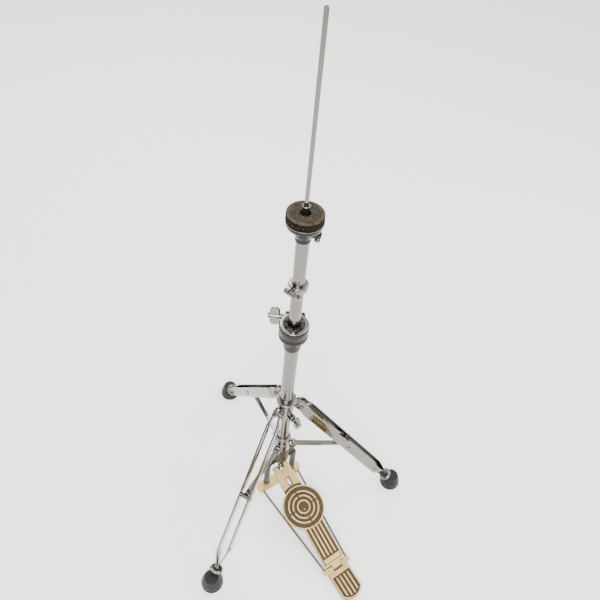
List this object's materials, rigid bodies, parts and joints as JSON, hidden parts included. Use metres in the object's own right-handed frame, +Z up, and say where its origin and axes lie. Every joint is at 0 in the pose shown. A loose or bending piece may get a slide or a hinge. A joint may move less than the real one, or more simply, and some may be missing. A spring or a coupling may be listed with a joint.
{
  "type": "hi-hat stand",
  "caption": "Folding hi-hat stand without cymbals: pull rod and two-part pillar on a double-strip tripod, with a hinged footboard, chain and return spring.",
  "frame": {"origin": "on the floor under the pull rod, on the underside of the base bar", "axes": "+Z up along the pull rod; -Y towards the heel and the player; +X to the right of a player facing +Y"},
  "size_m": [0.5181, 0.609, 1.089],
  "materials": {
    "chrome": "polished plating with smudges",
    "steel": "drawn steel, dulled",
    "black_paint": "black, semi-gloss, worn at the edges",
    "cast_black": "die-cast, dark satin",
    "cast_cream": "die-cast, champagne, satin with dark recesses",
    "rubber": "moulded, matte",
    "felt": "pressed wool felt, worn and linty",
    "nylon": "moulded nylon",
    "chain": "browned, oily"
  },
  "bodies": {
    "stand": {"base_bar": "cast_cream", "yoke_frame": "cast_black", "lower_tube": "chrome", "height_clamp": "black_paint", "clamp_top_ring": "chrome", "clamp_bushing": "nylon", "strut_hub": "chrome", "strut_rear_pin": "steel", "strut_right_pin": "steel", "strut_left_pin": "steel", "heel_plate": "cast_cream", "heel_hinge_pin": "steel", "stabiliser_wire_left": "steel", "stabiliser_wire_right": "steel", "spring_seat": "nylon"},
    "footboard": {"footboard": "cast_cream", "toe_pin": "steel"},
    "pull_rod": {"lower_pull_rod": "steel", "clevis_pin": "steel", "rod_coupler": "steel", "upper_pull_rod": "chrome", "spring_collar": "nylon", "return_spring": "steel"},
    "chain": {"chain_upper_link": "chain", "chain_lower_link": "chain"},
    "height_bolt": {"height_wing_bolt": "chrome"},
    "upper_tube": {"upper_tube": "chrome", "seat_neck": "black_paint", "guide_sleeve": "black_paint", "sleeve_ring": "chrome", "cup_hinge_pin": "steel"},
    "memory_lock": {"memory_lock": "chrome"},
    "memory_bolt": {"memory_key_bolt": "chrome"},
    "seat": {"seat_cup": "black_paint", "seat_washer": "chrome", "seat_felt": "felt"},
    "tilt_screw": {"tilt_screw": "steel"},
    "tilt_knob": {"tilt_knob": "chrome"},
    "collar": {"leg_collar": "chrome", "leg_rear_pin": "steel", "leg_right_pin": "steel", "leg_left_pin": "steel"},
    "collar_bolt": {"collar_wing_bolt": "chrome"},
    "leg_rear": {"leg_rear_strip_a": "chrome", "leg_rear_strip_b": "chrome", "leg_rear_ferrule": "chrome", "leg_rear_foot": "rubber"},
    "strut_rear": {"strut_rear": "chrome"},
    "leg_right": {"leg_right_strip_a": "chrome", "leg_right_strip_b": "chrome", "leg_right_ferrule": "chrome", "leg_right_foot": "rubber"},
    "strut_right": {"strut_right": "chrome"},
    "leg_left": {"leg_left_strip_a": "chrome", "leg_left_strip_b": "chrome", "leg_left_ferrule": "chrome", "leg_left_foot": "rubber"},
    "strut_left": {"strut_left": "chrome"}
  },
  "joints": [
    {"name": "pedal_press", "type": "hinge", "parent": "stand", "child": "footboard", "pos_m": [0, -0.2414, 0.012], "axis": [-1, 0, 0], "range_deg": [0, 11]},
    {"name": "pull_rod_travel", "type": "slide", "parent": "stand", "child": "pull_rod", "axis": [0, 0, -1], "range_m": [0, 0.0466], "stiffness_N_per_m": 900, "springref_m": -0.03, "deforming": ["return_spring"]},
    {"name": "chain_swing", "type": "hinge", "parent": "pull_rod", "child": "chain", "pos_m": [0, 0, 0.098], "axis": [1, 0, 0], "range_deg": [0, 12.02]},
    {"name": "height_bolt_turn", "type": "hinge", "parent": "stand", "child": "height_bolt", "pos_m": [0.01333, 0.0175, 0.585], "axis": [-0.7955, 0.606, 0], "range_deg": [-180, 180]},
    {"name": "height_slide", "type": "slide", "parent": "stand", "child": "upper_tube", "axis": [0, 0, 1], "range_m": [-0.08, 0.1]},
    {"name": "memory_lock_slide", "type": "slide", "parent": "upper_tube", "child": "memory_lock", "axis": [0, 0, 1], "range_m": [0, 0.085]},
    {"name": "memory_bolt_turn", "type": "hinge", "parent": "memory_lock", "child": "memory_bolt", "pos_m": [-0.01899, -0.00628, 0.687], "axis": [0.314, -0.9494, 0], "range_deg": [-180, 180]},
    {"name": "seat_tilt", "type": "hinge", "parent": "upper_tube", "child": "seat", "pos_m": [-0.01302, 0.01093, 0.8], "axis": [-0.6428, -0.766, 0], "range_deg": [0, 4]},
    {"name": "tilt_screw_rise", "type": "slide", "parent": "upper_tube", "child": "tilt_screw", "axis": [0, 0, 1], "range_m": [0, 0.0026]},
    {"name": "tilt_knob_turn", "type": "hinge", "parent": "tilt_screw", "child": "tilt_knob", "pos_m": [0.01532, -0.01286, 0.785], "axis": [0, 0, 1], "range_deg": [0, 1165]},
    {"name": "collar_slide", "type": "slide", "parent": "stand", "child": "collar", "axis": [0, 0, 1], "range_m": [0, 0.1474]},
    {"name": "collar_bolt_turn", "type": "hinge", "parent": "collar", "child": "collar_bolt", "pos_m": [0.00417, -0.02971, 0.317], "axis": [0.1392, -0.9903, 0], "range_deg": [-180, 180]},
    {"name": "leg_rear_fold", "type": "hinge", "parent": "collar", "child": "leg_rear", "pos_m": [0.00157, 0.02996, 0.349], "axis": [-0.9986, 0.0523, 0], "range_deg": [0, 29.64]},
    {"name": "strut_rear_fold", "type": "hinge", "parent": "stand", "child": "strut_rear", "pos_m": [0.00131, 0.02497, 0.184], "axis": [0.9986, -0.0523, 0], "range_deg": [0, 73.87]},
    {"name": "leg_right_fold", "type": "hinge", "parent": "collar", "child": "leg_right", "pos_m": [0.02516, -0.01634, 0.349], "axis": [0.5446, 0.8387, 0], "range_deg": [0, 29.64]},
    {"name": "strut_right_fold", "type": "hinge", "parent": "stand", "child": "strut_right", "pos_m": [0.02097, -0.01362, 0.184], "axis": [-0.5446, -0.8387, 0], "range_deg": [0, 73.87]},
    {"name": "leg_left_fold", "type": "hinge", "parent": "collar", "child": "leg_left", "pos_m": [-0.02673, -0.01362, 0.349], "axis": [0.454, -0.891, 0], "range_deg": [0, 29.64]},
    {"name": "strut_left_fold", "type": "hinge", "parent": "stand", "child": "strut_left", "pos_m": [-0.02227, -0.01135, 0.184], "axis": [-0.454, 0.891, 0], "range_deg": [0, 73.87]}
  ],
  "couplings": [
    {"joint": "pull_rod_travel", "follows": "pedal_press", "m_per_rad": 0.24214},
    {"joint": "chain_swing", "follows": "pedal_press", "ratio": 1.0831},
    {"joint": "tilt_screw_rise", "follows": "seat_tilt", "m_per_rad": 0.03697},
    {"joint": "tilt_knob_turn", "follows": "seat_tilt", "ratio": 290.36},
    {"joint": "leg_rear_fold", "follows": "collar_slide", "rad_per_m": 3.5081},
    {"joint": "strut_rear_fold", "follows": "collar_slide", "rad_per_m": 8.7428},
    {"joint": "leg_right_fold", "follows": "collar_slide", "rad_per_m": 3.5081},
    {"joint": "strut_right_fold", "follows": "collar_slide", "rad_per_m": 8.7428},
    {"joint": "leg_left_fold", "follows": "collar_slide", "rad_per_m": 3.5081},
    {"joint": "strut_left_fold", "follows": "collar_slide", "rad_per_m": 8.7428}
  ]
}
